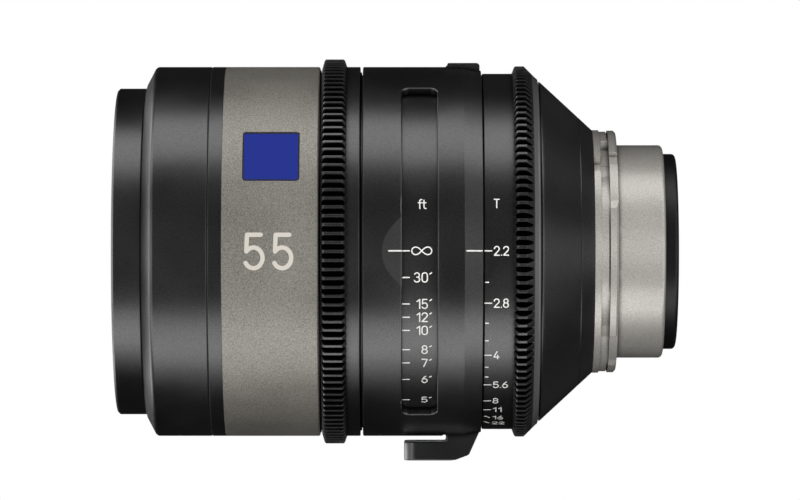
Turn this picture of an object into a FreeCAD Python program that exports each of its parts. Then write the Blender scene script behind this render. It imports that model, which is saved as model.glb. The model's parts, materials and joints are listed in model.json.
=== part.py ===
import FreeCAD, Part
import math
import os

from FreeCAD import Vector

# A cinema prime lens with a geared focus ring and a geared iris ring, in millimetres.
# The origin is the centre of the mount's flange plane. +X runs back into the camera along the
# optical axis, +Z is up, and the scales and their index lines face -Y.

# Clearances
running_gap = 0.3            # between a piece that moves and one that does not
seat_gap = 0.05              # between two pieces that are fixed together
pin_gap = 0.1                # round a pin that turns in its hole
follower_gap = 0.2           # each side of a cam follower in its slot or groove

# Lengths along the optical axis, from the flange plane forwards
wing_length = 2.35           # the mount's wings, which the camera's lock ring clamps
lock_groove_length = 2.55    # the groove in front of the wings
base_ring_length = 1.85
end_ring_length = 4.15       # last band of the cone, a piece of its own
cover_length = 11.3
cover_gap = 0.4
iris_gear_length = 7.5
iris_scale_length = 8.7
housing_length = 34.25
shadow_groove_length = 0.75
focus_plain_length = 3.9
focus_gear_length = 7.2
sleeve_gap = 0.6
sleeve_length = 27.3
trim_length = 4.1
front_barrel_length = 19.0
front_ring_length = 8.4

# Lengths behind the flange plane
tube_length = 13.7
guard_reach = 3.8            # how far the rear guard stands out of the tube

# Outer radii. Those that step up or down from another one are written as that step.
barrel_radius = 53.8
front_radius = 47.5          # the usual 95 mm front, which clamp-on accessories take
tube_radius = 31.0           # the mount's 62 mm tube, which centres the lens in the camera
band_rear_radius = barrel_radius - 1.1         # rear end of the housing's sloping index band
scale_ring_radius = barrel_radius - 1.97
cover_front_radius = scale_ring_radius - 2.33
lock_core_radius = tube_radius + 1.5
lock_land_radius = tube_radius + 3.97
wing_radius = lock_land_radius + 0.29
wing_relief_radius = wing_radius - 0.66
mount_radius = wing_radius + 0.13
guard_radius = tube_radius - 2.55

# Wall thicknesses
sleeve_wall = 2.0
housing_wall = 2.1
drum_wall = 2.05
cam_sleeve_wall = 2.5
guide_wall = 3.3
carrier_wall = 2.75
guard_wall = 2.95

# Follow-focus gears. Each has as many teeth as bring its tip to the height that it stands out.
gear_module = 0.8
focus_gear_height = 2.2      # of the tips, above the barrel
iris_gear_height = 2.17      # of the tips, above the scale ring
focus_teeth = round(2 * (barrel_radius + focus_gear_height) / gear_module) - 2
iris_teeth = round(2 * (scale_ring_radius + iris_gear_height) / gear_module) - 2
tooth_depth = 2.0
land_share = 0.3             # of the pitch, across the top of a tooth
floor_share = 0.2            # of the pitch, across the bottom of a gap
gear_foot_radius = barrel_radius - 0.5         # front end of the focus gear's slope
gear_front_slope = 1.1
gear_rear_slope = 1.0
gear_tip_bevel = 0.4         # where a slope meets the top of a tooth
over_tip = 0.01              # a turned blank stands this much above the teeth that it trims
iris_tail_round = 0.6
iris_tail_radius = scale_ring_radius - 1.23    # where the rear slope turns into the round
iris_end_radius = iris_tail_radius - 0.9

# Focus: the ring turns, and a cam drives the floating group forwards
focus_travel_degrees = 270.0
focus_travel = 12.0
follower_radius = 1.4
follower_count = 3
cam_groove_depth = 1.7

# Iris
blade_count = 12
blade_thickness = 0.2
blade_pitch = 0.35           # along the axis, so that no two blades share a plane
blade_pivot_radius = 23.0
blade_inner_radius = blade_pivot_radius - 6.9
blade_width = 5.8
blade_sweep = 75.0
blade_pin_radius = 0.8
blade_boss_radius = 2.2
iris_open_radius = blade_inner_radius - 0.6
iris_travel_degrees = 72.0

# Window over the distance scale, and the sloping index facet beside it
window_front = 11.35         # behind the housing's front face
window_length = 10.0
window_half_angle = 60.5
window_corner = 2.1
window_bevel = 0.45          # radius that breaks its outer edges
facet_length = 5.8
facet_depth = 0.97

# Support foot and top pad, both part of the housing
foot_half_width = 9.0
foot_plate = 5.5
foot_slot = 1.4              # between the plate and the barrel
foot_drop = barrel_radius + foot_slot + foot_plate
foot_reach = 22.3            # front end of the plate, ahead of the housing's rear face
foot_slot_end = 10.1         # rear end of the slot over the plate, from the same face
foot_slot_round = 0.5
foot_relief_radius = 0.55    # tool relief in the barrel, at the end of the slot
foot_heel_height = 8.7       # upper end of the heel's rear curve, above the sole
foot_sole_end = 8.9          # rear end of the sole, ahead of the housing's rear face
foot_corner = 3.4
foot_thread_radius = 3.175   # a quarter-inch support screw
foot_thread_place = 16.0     # ahead of the housing's rear face
pad_length = 9.8
pad_reach = 10.2             # front end of the pad, ahead of the housing's rear face
pad_height = barrel_radius + 0.92
pad_half_width = 9.0
pad_run_in = 0.95            # length of the curve that leads up to it in front
pad_round = 1.0

# Front thread and glass
filter_thread_radius = front_radius - 4.5
filter_thread_length = 5.0
front_glass_radius = front_radius - 9.6
front_glass_bulge = 6.7
second_glass_radius = front_glass_radius - 7.9
focus_front_glass_radius = 27.0
focus_rear_glass_radius = 24.0

# Mount details
lobe_radius = lock_land_radius - 7.97          # of the four rounds on the lock groove's floor
mount_screw_radius = 0.8
mount_screw_head = 1.4
mount_screw_length = 9.0
mount_screw_spread = 12.0    # degrees each side of a land's middle
shim_thickness = 0.3

# Badge recess in the sleeve, left blank
badge_size = 16.2
badge_angle = 30.5
badge_front = 5.8            # behind the sleeve's front end
badge_depth = 1.3
badge_plate_thickness = 0.8
badge_corner = 1.0

# Stations along X
x_groove = -wing_length - lock_groove_length
x_base = x_groove - base_ring_length
x_end_ring = x_base - end_ring_length
x_cover = x_end_ring - cover_length
x_iris_rear = x_cover - cover_gap
x_iris_gear = x_iris_rear - iris_gear_length
x_iris_front = x_iris_gear - iris_scale_length
x_housing_rear = x_iris_front - running_gap
x_housing_front = x_housing_rear - housing_length
x_focus_rear = x_housing_front - shadow_groove_length
x_focus_gear = x_focus_rear - focus_plain_length
x_focus_front = x_focus_gear - focus_gear_length
x_sleeve_rear = x_focus_front - sleeve_gap
x_sleeve_front = x_sleeve_rear - sleeve_length
x_trim_front = x_sleeve_front - trim_length
x_barrel_front = x_trim_front - front_barrel_length
x_front = x_barrel_front - front_ring_length

# Radii that follow from the ones above
focus_tip_radius = gear_module * (focus_teeth + 2) / 2
iris_tip_radius = gear_module * (iris_teeth + 2) / 2
housing_bore = barrel_radius - housing_wall
flange_radius = housing_bore - seat_gap
drum_radius = housing_bore - running_gap
cam_sleeve_radius = drum_radius - drum_wall - seat_gap
cam_bore = cam_sleeve_radius - cam_sleeve_wall
guide_radius = cam_bore - running_gap
guide_bore = guide_radius - guide_wall
sleeve_bore = barrel_radius - sleeve_wall
carrier_radius = sleeve_bore - seat_gap
cell_guide_radius = guide_bore - running_gap
journal_radius = cover_front_radius - 1.5
iris_bore = journal_radius + running_gap
mount_bore = guard_radius + seat_gap
guard_bore = guard_radius - guard_wall

# Joints and edges of the outer pieces
seam = 0.25                  # bevel at a joint line between two outer pieces
clear_of = 1.0               # how far a cutting shape runs past the face that it opens
shoulder_length = 3.6
index_band_length = 5.2
spigot_radius = front_radius - 3.0
groove_floor_radius = barrel_radius - 1.6      # of the shadow groove behind the focus ring
cone_round = 0.7
cone_wall = 1.7
end_spigot_radius = mount_radius - 2.39
end_spigot_length = 3.0

# Front cell
front_web_place = 4.7        # behind the front ring
front_glass_depth = 8.1      # from the end of the filter thread to the glass's edge
front_glass_edge = 3.1
retainer_lap = 0.7
cell_radius = front_radius - 6.6
element_spacing = 2.4
second_cup_depth = 11.0
glass_lip = 2.4              # how far a seat reaches in under its element
retainer_width = 2.0

# Cam sleeve, drum and their screws
drum_length_open = 22.85     # of the drum, inside the housing
follower_place = 6.35        # behind the housing's front face, at infinity
carrier_spigot_length = 6.0
carrier_rim_radius = barrel_radius - 1.0
cam_flange_height = 2.7
cam_flange_length = 1.8
ring_screw_count = 6
ring_screw_radius = 0.6
ring_screw_head = 1.15
ring_screw_head_depth = 0.8
ring_screw_length = 5.0
ring_screw_rise = 1.35       # above the cam sleeve
drum_screw_count = 3
drum_screw_radius = 0.8
drum_screw_place = 3.4       # behind the cam followers
drum_screw_reach = 1.0
drum_screw_start = 60.0      # degrees above -Y

# Floating cell
follower_start = 90.0        # degrees above -Y
follower_root = 5.2          # above the front element's edge
cell_half_length = 13.0
cell_web = 6.0
cell_rim = 18.0
focus_front_seat_place = 3.5
focus_rear_seat_place = 5.0

# Iris parts
iris_plate_place = 3.9       # ahead of the housing's rear face
iris_plate_thickness = 1.5
drive_ring_thickness = 2.4
iris_retainer_thickness = 1.5
iris_retainer_width = 13.2
key_radius = 1.25
key_angle = 144.0            # above -Y, with the iris open
key_root = 3.0               # in the drive ring
key_bite = 1.6               # in the iris ring
key_end_gap = 0.2

# Rear cell
rear_glass_radius = guard_bore - 3.5
rear_front_glass_radius = rear_glass_radius + 0.5
rear_cell_radius = rear_front_glass_radius + 5.5
rear_web_place = 2.6         # behind the iris retainer
rear_web_thickness = 4.0
rear_spigot_length = 3.6
rear_cell_nose = 1.6
rear_cup_depth = 6.5
rear_flange_height = 2.5
rear_flange_thickness = 1.5
rear_glass_place = 1.2       # ahead of the mount's base ring
rear_glass_cup = 9.2

# Mount, seen from behind
guard_flange_height = 1.15
shim_radius = mount_radius - 1.39
head_depth = 1.0
index_slot_angle = 46.0
index_slot_half = 5.0
wing_notch_angle = 50.5
wing_notch_half = 4.0
wing_notch_floor = wing_radius - 1.46
relief_start = 25.0
ramp_lean = 12.0             # degrees between a relief's start and the foot of its ramp's normal
ramp_run = 5.0
land_line_width = 0.45       # narrow groove between the lands and the wings
land_line_depth = 0.6
stop_pocket_angle = 60.0     # deep pocket in the lock groove, beside the index slot
stop_pocket_half = 9.0
stop_pocket_floor = tube_radius + 0.7
baffle_place = 0.8           # behind the end of the tube
baffle_thickness = 1.2
baffle_width = 36.0
baffle_height = 26.0
baffle_corner = 3.0

# Radii of the inner pieces
cell_bore = cell_radius + seat_gap
retainer_bore = front_glass_radius + 2.05
ring_screw_place = cam_sleeve_radius + ring_screw_rise
rear_spigot_radius = journal_radius - 4.0
rear_tail_radius = rear_glass_radius + 2.9
cone_foot_radius = cover_front_radius - 0.5
guard_flange_radius = guard_radius + guard_flange_height
mount_screw_place = (tube_radius + lock_land_radius) / 2

# Places of the inner pieces
x_ring_seat = x_front + filter_thread_length
x_spigot_front = x_ring_seat + 1.0
x_web = x_barrel_front + front_web_place
x_front_glass = x_ring_seat + front_glass_depth
x_retainer_rear = x_front_glass - retainer_lap
x_front_seat = x_front_glass + front_glass_edge
x_second_seat = x_front_seat + element_spacing
x_cell_rear = x_second_seat + second_cup_depth
x_carrier_rear = x_focus_front - running_gap
x_barrel_nose = x_carrier_rear - carrier_spigot_length
x_drum_front = x_housing_front - running_gap
x_drum_rear = x_housing_front + drum_length_open
x_flange = x_drum_rear + running_gap
x_follower = x_housing_front + follower_place
x_drum_screw = x_follower + drum_screw_place
x_focus_front_seat = x_follower - focus_front_seat_place
x_focus_rear_seat = x_follower + focus_rear_seat_place
x_iris_plate = x_housing_rear - iris_plate_place
x_blades = x_iris_plate + iris_plate_thickness + running_gap
x_drive_ring = x_blades + blade_pitch * blade_count + running_gap
x_key = x_drive_ring + drive_ring_thickness / 2
x_iris_retainer = x_drive_ring + drive_ring_thickness + running_gap
x_rear_web = x_iris_retainer + iris_retainer_thickness + rear_web_place
x_rear_cell = x_rear_web - rear_cell_nose
x_rear_seat = x_base - rear_glass_place
x_rear_cell_end = x_rear_seat + rear_glass_cup


def outline(start, *steps):
    """A closed face in the X-radius plane. A step is a point, or a (middle, end) pair for an arc."""
    edges = []
    here = Vector(start[0], start[1], 0)
    first = here
    for step in steps:
        if isinstance(step[0], tuple):
            middle = Vector(step[0][0], step[0][1], 0)
            end = Vector(step[1][0], step[1][1], 0)
            edges.append(Part.Arc(here, middle, end).toShape())
        else:
            end = Vector(step[0], step[1], 0)
            edges.append(Part.LineSegment(here, end).toShape())
        here = end
    if here.distanceToPoint(first) > 1e-6:
        edges.append(Part.LineSegment(here, first).toShape())
    return Part.Face(Part.Wire(edges))


def turned(start, *steps):
    """A solid of revolution about the optical axis."""
    return outline(start, *steps).revolve(Vector(0, 0, 0), Vector(1, 0, 0), 360)


def ring(front, rear, inner, outer):
    return turned((front, inner), (front, outer), (rear, outer), (rear, inner))


def aimed(shape, degrees):
    """Turns a shape about the optical axis, from -Y upwards to +Z."""
    turned_shape = shape.copy()
    turned_shape.rotate(Vector(0, 0, 0), Vector(-1, 0, 0), degrees)
    return turned_shape


def around(shape, count, start=0.0):
    """Copies of a shape, evenly spaced about the optical axis."""
    return [aimed(shape, start + 360.0 * index / count) for index in range(count)]


def sector(front, rear, inner, outer, middle, half_angle):
    """Part of a ring, centred on an angle above -Y."""
    face = outline((front, inner), (front, outer), (rear, outer), (rear, inner))
    wedge = face.revolve(Vector(0, 0, 0), Vector(1, 0, 0), 2 * half_angle)
    return aimed(wedge, 180.0 + half_angle + middle)


def radial_pin(x, inner, outer, radius):
    """A round pin that points outwards from the optical axis towards -Y."""
    return Part.makeCylinder(radius, outer - inner, Vector(x, -inner, 0), Vector(0, -1, 0))


def axial_pin(x, length, place_radius, radius):
    """A round pin along +X, at a distance from the optical axis on the -Y side."""
    return Part.makeCylinder(radius, length, Vector(x, -place_radius, 0), Vector(1, 0, 0))


def cut_all(shape, cutters):
    return shape.cut(Part.makeCompound(cutters))


def dome(vertex, edge, rim):
    """Middle and end points of a spherical surface, from its rim to the optical axis."""
    rise = abs(edge - vertex)
    sphere = (rim * rim + rise * rise) / (2 * rise)
    half = rim / 2
    drop = sphere - math.sqrt(sphere * sphere - half * half)
    way = 1 if edge > vertex else -1
    return ((vertex + way * drop, half), (vertex, 0))


def glass(front_vertex, front_edge, rear_edge, rear_vertex, radius, rear_rim):
    """A lens element whose front surface runs to its edge and whose rear one has a flat rim."""
    front = dome(front_vertex, front_edge, radius)
    rear = dome(rear_vertex, rear_edge, rear_rim)
    rear_middle = rear[0]
    return turned(
        (front_vertex, 0),
        (front[0], (front_edge, radius)),
        (rear_edge, radius),
        (rear_edge, rear_rim),
        (rear_middle, (rear_vertex, 0)),
    )


def toothed_prism(teeth, tip, front, rear):
    """A gear-shaped bar with straight flanks and a tooth centred on -Y."""
    pitch = 2 * math.pi / teeth
    half_land = land_share * pitch / 2
    half_floor = floor_share * pitch / 2
    root = tip - tooth_depth
    points = []
    for index in range(teeth):
        middle = math.pi + index * pitch
        gap = middle + pitch / 2
        for angle, radius in ((middle - half_land, tip), (middle + half_land, tip),
                              (gap - half_floor, root), (gap + half_floor, root)):
            points.append(Vector(front, radius * math.cos(angle), radius * math.sin(angle)))
    points.append(points[0])
    face = Part.Face(Part.makePolygon(points))
    return face.extrude(Vector(rear - front, 0, 0))


def front_ring():
    """Front clamp ring, with the filter thread in its bore."""
    edge = 0.6
    spigot = spigot_radius + seat_gap
    return turned(
        (x_front, filter_thread_radius + edge / 2),
        (x_front, front_radius - edge),
        (x_front + edge, front_radius),
        (x_barrel_front - edge / 2, front_radius),
        (x_barrel_front, front_radius - edge / 2),
        (x_barrel_front, spigot),
        (x_ring_seat, spigot),
        (x_ring_seat, filter_thread_radius),
        (x_front + edge / 2, filter_thread_radius),
    )


def front_barrel():
    """Black front barrel with its sloping shoulder, and the web that carries the front cell."""
    x_foot = x_barrel_front + 0.3
    foot_radius = front_radius + 1.3
    x_crest = x_barrel_front + 2.6
    crest_radius = barrel_radius - 0.6
    bend = (x_barrel_front + 3.05, barrel_radius - 0.2)
    return turned(
        (x_spigot_front, cell_bore),
        (x_spigot_front, spigot_radius),
        (x_barrel_front, spigot_radius),
        (x_barrel_front, front_radius),
        (x_foot, foot_radius),
        (x_crest, crest_radius),
        (bend, (x_barrel_front + shoulder_length, barrel_radius)),
        (x_trim_front - seam, barrel_radius),
        (x_trim_front, barrel_radius - seam),
        (x_trim_front, sleeve_bore),
        (x_web, sleeve_bore),
        (x_web, cell_bore),
    )


def trim_ring():
    """Black ring that is screwed onto the carrier and holds the sleeve back against its rim."""
    return turned(
        (x_trim_front, sleeve_bore),
        (x_trim_front, barrel_radius - seam),
        (x_trim_front + seam, barrel_radius),
        (x_sleeve_front, barrel_radius),
        (x_sleeve_front, sleeve_bore),
    )


def badge_block(size, low, high):
    """A square block with rounded corners, lying across the badge's radius."""
    middle = x_sleeve_front + badge_front + badge_size / 2
    corner = Vector(middle - size / 2, -high, -size / 2)
    block = Part.makeBox(size, high - low, size, corner)
    upright = [edge for edge in block.Edges if abs(edge.tangentAt(edge.FirstParameter).y) > 0.5]
    return aimed(block.makeFillet(badge_corner, upright), badge_angle)


def grip_sleeve():
    """Bright fixed sleeve, with a flat recess for a badge plate."""
    bevel = 0.3
    sleeve = turned(
        (x_sleeve_front, sleeve_bore),
        (x_sleeve_front, barrel_radius),
        (x_sleeve_rear - bevel, barrel_radius),
        (x_sleeve_rear, barrel_radius - bevel),
        (x_sleeve_rear, sleeve_bore),
    )
    floor = barrel_radius - badge_depth
    return sleeve.cut(badge_block(badge_size, floor, barrel_radius + clear_of))


def badge_plate():
    floor = barrel_radius - badge_depth
    return badge_block(badge_size - 2 * seat_gap, floor, floor + badge_plate_thickness)


def front_carrier():
    """Tube under the sleeve that joins the front barrel to the main barrel."""
    nose = x_barrel_nose - seat_gap
    neck = guide_radius - 2.0
    neck_length = 2.2
    bore = carrier_radius - carrier_wall
    return turned(
        (x_web, bore),
        (x_web, carrier_radius),
        (x_sleeve_rear, carrier_radius),
        (x_sleeve_rear, carrier_rim_radius),
        (x_carrier_rear, carrier_rim_radius),
        (x_carrier_rear, guide_radius + seat_gap),
        (nose, guide_radius + seat_gap),
        (nose, neck),
        (nose - neck_length, neck),
        (nose - neck_length, bore),
    )


def front_cell():
    """Cup that holds the two front elements."""
    flange_front = x_ring_seat + seat_gap
    return turned(
        (flange_front, retainer_bore),
        (flange_front, spigot_radius),
        (x_spigot_front, spigot_radius),
        (x_spigot_front, cell_radius),
        (x_cell_rear, cell_radius),
        (x_cell_rear, second_glass_radius + seat_gap),
        (x_second_seat, second_glass_radius + seat_gap),
        (x_second_seat, second_glass_radius - glass_lip),
        (x_front_seat, second_glass_radius - glass_lip),
        (x_front_seat, front_glass_radius + seat_gap),
        (x_retainer_rear, front_glass_radius + seat_gap),
        (x_retainer_rear, retainer_bore),
    )


def front_retainer():
    """Black stepped ring in front of the first element, which also cuts stray light."""
    setback = 0.6
    rim = 1.0
    overlap = 1.5
    steps = 5
    riser_share = 0.4
    outer = retainer_bore - seat_gap
    front = x_ring_seat + setback
    rear = x_retainer_rear - seat_gap
    inner_front = outer - rim
    inner_rear = front_glass_radius - overlap
    run = (rear - front) / steps
    fall = (inner_front - inner_rear) / steps
    stairs = []
    for step in range(steps):
        radius = inner_front - fall * step
        stairs.append((front + run * step, radius))
        stairs.append((front + run * (step + 1), radius - fall * riser_share))
    return turned((front, outer), *stairs, (rear, outer))


def front_element():
    middle_thickness = 6.6
    flat_rim = 2.9
    vertex = x_front_glass - front_glass_bulge
    return glass(vertex, x_front_glass, x_front_seat - seat_gap, vertex + middle_thickness,
                 front_glass_radius, front_glass_radius - flat_rim)


def second_element():
    front_hollow = 2.0
    thickness = 7.0
    rear_hollow = 3.4
    flat_rim = 3.0
    front = x_second_seat + seat_gap
    rear = front + thickness
    return glass(front + front_hollow, front, rear, rear - rear_hollow,
                 second_glass_radius, second_glass_radius - flat_rim)


def second_retainer():
    thickness = 3.3
    width = 3.0
    rear = x_cell_rear - 0.5
    return ring(rear - thickness, rear, second_glass_radius - width, second_glass_radius)


def drive_slot(grow):
    """The sector that the iris key sweeps through, as seen from the fixed barrel."""
    reach = math.degrees(math.asin((key_radius + grow) / guide_bore))
    middle = key_angle + iris_travel_degrees / 2
    half = iris_travel_degrees / 2 + reach
    return sector(x_key - key_radius - grow, x_key + key_radius + grow,
                  guide_bore - clear_of, journal_radius + clear_of, middle, half)


def guide_slot():
    """Straight slot with round ends that lets a follower move along the barrel but not round it."""
    half_width = follower_radius + follower_gap
    inner = guide_bore - clear_of
    outer = guide_radius + clear_of
    x_near = x_follower - focus_travel
    near_end = radial_pin(x_near, inner, outer, half_width)
    far_end = radial_pin(x_follower, inner, outer, half_width)
    corner = Vector(x_near, -outer, -half_width)
    middle = Part.makeBox(focus_travel, outer - inner, 2 * half_width, corner)
    return near_end.fuse([far_end, middle]).removeSplitter()


def main_barrel():
    """Fixed barrel that everything else is built on: guide tube, flange, iris journal and rear web."""
    web_rear = x_rear_web + rear_web_thickness
    spigot_wall = 4.0
    blank = turned(
        (x_barrel_nose, guide_bore),
        (x_barrel_nose, guide_radius),
        (x_flange, guide_radius),
        (x_flange, flange_radius),
        (x_housing_rear, flange_radius),
        (x_housing_rear, journal_radius),
        (x_cover, journal_radius),
        (x_cover, rear_spigot_radius),
        (x_cover + rear_spigot_length, rear_spigot_radius),
        (x_cover + rear_spigot_length, rear_spigot_radius - spigot_wall),
        (web_rear, rear_spigot_radius - spigot_wall),
        (web_rear, rear_cell_radius + seat_gap),
        (x_rear_web, rear_cell_radius + seat_gap),
        (x_rear_web, guide_bore),
    )
    cutters = around(guide_slot(), follower_count, follower_start)
    cutters.append(drive_slot(running_gap))
    return cut_all(blank, cutters)


def cam_groove():
    """One helical groove and its round ends. It runs forwards and down the -Y side from +Z."""
    end_allowance = 0.06
    lead = focus_travel * 360.0 / focus_travel_degrees
    half_width = follower_radius + follower_gap
    low = cam_bore - clear_of
    high = cam_bore + cam_groove_depth
    helix = Part.makeHelix(lead, focus_travel, cam_bore)
    helix.rotate(Vector(0, 0, 0), Vector(0, 1, 0), -90)
    helix.translate(Vector(x_follower, 0, 0))
    corners = [Vector(x_follower + side * half_width, 0, radius)
               for side, radius in ((-1, low), (1, low), (1, high), (-1, high), (-1, low))]
    groove = Part.Wire(helix.Edges).makePipeShell([Part.makePolygon(corners)], True, True)
    groove = groove.mirror(Vector(0, 0, 0), Vector(0, 1, 0))
    start = Part.makeCylinder(half_width + end_allowance, high + end_allowance - low,
                              Vector(x_follower, 0, low), Vector(0, 0, 1))
    end = start.copy()
    end.rotate(Vector(0, 0, 0), Vector(1, 0, 0), focus_travel_degrees)
    end.translate(Vector(-focus_travel, 0, 0))
    return [aimed(piece, follower_start - 90) for piece in (groove, start, end)]


def ring_screw_holes(radius):
    hole = axial_pin(x_focus_front, ring_screw_length + running_gap, ring_screw_place, radius)
    return around(hole, ring_screw_count)


def drum_screw_holes():
    hole = radial_pin(x_drum_screw, cam_sleeve_radius - drum_screw_reach - seat_gap,
                      drum_radius + clear_of, drum_screw_radius + seat_gap)
    return around(hole, drum_screw_count, drum_screw_start)


def cam_sleeve():
    """Sleeve inside the focus ring, with one groove in its bore for each cam follower."""
    flange = cam_sleeve_radius + cam_flange_height
    blank = turned(
        (x_focus_front, cam_bore),
        (x_focus_front, flange),
        (x_focus_front + cam_flange_length, flange),
        (x_focus_front + cam_flange_length, cam_sleeve_radius),
        (x_drum_rear, cam_sleeve_radius),
        (x_drum_rear, cam_bore),
    )
    for piece in cam_groove():
        blank = cut_all(blank, around(piece, follower_count))
    cutters = ring_screw_holes(ring_screw_radius + seat_gap)
    head = axial_pin(x_focus_front, ring_screw_head_depth + seat_gap, ring_screw_place,
                     ring_screw_head + seat_gap)
    cutters += around(head, ring_screw_count)
    cutters += drum_screw_holes()
    return cut_all(blank, cutters)


def focus_ring():
    """Geared focus ring. Its teeth run out in the slopes at both ends."""
    tip = focus_tip_radius
    land_end = tip + over_tip - gear_tip_bevel
    step = 0.1
    flange_rear = x_focus_front + cam_flange_length + seat_gap
    flange_bore = cam_sleeve_radius + cam_flange_height + seat_gap
    blank = turned(
        (x_focus_front, gear_foot_radius),
        (x_focus_front + gear_front_slope - gear_tip_bevel, land_end),
        (x_focus_front + gear_front_slope, tip + over_tip),
        (x_focus_gear - gear_rear_slope, tip + over_tip),
        (x_focus_gear - gear_rear_slope + gear_tip_bevel, land_end),
        (x_focus_gear, barrel_radius + step),
        (x_focus_gear, barrel_radius),
        (x_focus_rear - seam / 2, barrel_radius),
        (x_focus_rear, barrel_radius - seam / 2),
        (x_focus_rear, groove_floor_radius),
        (x_drum_front, groove_floor_radius),
        (x_drum_front, cam_sleeve_radius + seat_gap),
        (flange_rear, cam_sleeve_radius + seat_gap),
        (flange_rear, flange_bore),
        (x_focus_front, flange_bore),
    )
    bar = toothed_prism(focus_teeth, tip, x_focus_front - clear_of, x_drum_front + clear_of)
    return cut_all(bar.common(blank), ring_screw_holes(ring_screw_radius + seat_gap))


def ring_screws():
    """Screws that fix the focus ring to the flange of the cam sleeve."""
    sink = 0.1
    front = x_focus_front + sink
    head = axial_pin(front, ring_screw_head_depth - sink, ring_screw_place, ring_screw_head)
    shank = axial_pin(front, ring_screw_length, ring_screw_place, ring_screw_radius)
    return Part.makeCompound(around(head.fuse(shank), ring_screw_count))


def scale_drum():
    """Engraved distance drum, which turns with the focus ring and shows in the window."""
    blank = ring(x_drum_front, x_drum_rear, cam_sleeve_radius + seat_gap, drum_radius)
    return cut_all(blank, drum_screw_holes())


def drum_screws():
    sink = 0.2
    root = cam_sleeve_radius - drum_screw_reach
    pin = radial_pin(x_drum_screw, root, drum_radius - sink, drum_screw_radius)
    return Part.makeCompound(around(pin, drum_screw_count, drum_screw_start))


def rounded_slab(front, rear, half_width, bottom, top, corner):
    """A flat plate with its two front corners rounded in plan."""
    slab = Part.makeBox(rear - front, 2 * half_width, top - bottom, Vector(front, -half_width, bottom))
    picked = []
    for edge in slab.Edges:
        upright = abs(edge.tangentAt(edge.FirstParameter).z) > 0.5
        if upright and edge.CenterOfMass.x < front + corner:
            picked.append(edge)
    return slab.makeFillet(corner, picked)


def extruded_across(face, half_width):
    """Turns a face drawn in the X-radius plane upright, and extrudes it across the lens."""
    upright = face.copy()
    upright.rotate(Vector(0, 0, 0), Vector(1, 0, 0), 90)
    upright.translate(Vector(0, half_width, 0))
    return upright.extrude(Vector(0, -2 * half_width, 0))


def support_foot():
    """Plate under the barrel with a slot over it, joined to the barrel at its rear end."""
    rear = x_housing_rear
    top = foot_plate - foot_drop
    slot_end = rear - foot_slot_end
    joint = slot_end - 4.0
    round_start = (slot_end - foot_slot_round, top)
    cut_back = foot_slot_round * (1 - math.sqrt(0.5))
    round_middle = (slot_end - cut_back, top + cut_back)
    knee_start = (rear - 3.1, 2.5 - foot_drop)
    knee_middle = (rear - 3.5, 1.8 - foot_drop)
    knee_end = (rear - 4.4, 1.3 - foot_drop)
    sole_start = (rear - 7.3, 0.2 - foot_drop)
    heel = extruded_across(outline(
        (joint, -foot_drop),
        (joint, top),
        round_start,
        (round_middle, (slot_end, top + foot_slot_round)),
        (slot_end, -housing_bore),
        (rear, -housing_bore),
        (rear - 0.3, foot_heel_height - foot_drop),
        knee_start,
        (knee_middle, knee_end),
        sole_start,
        (rear - foot_sole_end, -foot_drop),
    ), foot_half_width)
    plate = rounded_slab(rear - foot_reach, joint, foot_half_width, -foot_drop, top, foot_corner)
    return heel.fuse(plate).removeSplitter()


def foot_relief():
    """Small round relief across the barrel, where the slot over the foot ends."""
    middle = x_housing_rear - foot_slot_end - foot_relief_radius
    return Part.makeCylinder(foot_relief_radius, 2 * foot_half_width,
                             Vector(middle, -foot_half_width, -barrel_radius), Vector(0, 1, 0))


def top_pad():
    """Flat pad on top of the housing, for a bracket or a level. Its front is hollow, then round."""
    front = x_housing_rear - pad_reach
    rear = front + pad_length
    low = housing_bore
    cut_back = pad_round * (1 - math.sqrt(0.5))
    rise = pad_height - barrel_radius
    hollow = (front + 0.27 * pad_run_in, barrel_radius + 0.12 * rise)
    turn = (front + 0.45 * pad_run_in, barrel_radius + 0.5 * rise)
    crown = (front + 0.65 * pad_run_in, barrel_radius + 0.87 * rise)
    return extruded_across(outline(
        (front, low),
        (front, barrel_radius),
        (hollow, turn),
        (crown, (front + pad_run_in, pad_height)),
        (rear - pad_round, pad_height),
        ((rear - cut_back, pad_height - cut_back), (rear, pad_height - pad_round)),
        (rear, low),
    ), pad_half_width)


def window_cutter():
    """Curved block with rounded corners, facing -Y."""
    front = x_housing_front + window_front
    rear = front + window_length
    block = sector(front, rear, housing_bore - clear_of, barrel_radius + clear_of, 0, window_half_angle)
    corners = []
    for edge in block.Edges:
        tangent = edge.tangentAt(edge.FirstParameter)
        if edge.Curve.TypeId == "Part::GeomLine" and abs(tangent.x) < 0.5:
            corners.append(edge)
    return block.makeFillet(window_corner, corners)


def facet_cutter():
    """Wedge that leaves the sloping flat with the index line beside the window."""
    half_height = 20.0
    front = x_housing_front + window_front - facet_length
    rear = x_housing_front + window_front + clear_of
    slope = facet_depth / facet_length
    wedge = outline(
        (front, -barrel_radius),
        (rear, slope * (rear - front) - barrel_radius),
        (rear, -barrel_radius - 2 * clear_of),
        (front, -barrel_radius - 2 * clear_of),
    )
    wedge.translate(Vector(0, 0, -half_height))
    return wedge.extrude(Vector(0, 0, 2 * half_height))


def off_axis(point):
    return math.hypot(point.y, point.z)


def window_rim(body):
    """The outer edges of the window, which carry its bevel."""
    front = x_housing_front + window_front - 0.01
    rear = front + window_length + 0.02
    outside = (housing_bore + barrel_radius - facet_depth) / 2
    rim = []
    for edge in body.Edges:
        box = edge.BoundBox
        ends = [edge.valueAt(edge.FirstParameter), edge.valueAt(edge.LastParameter)]
        inside_window = box.XMin > front and box.XMax < rear and box.YMax < 0
        if inside_window and min(off_axis(end) for end in ends) > outside:
            rim.append(edge)
    return rim


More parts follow.
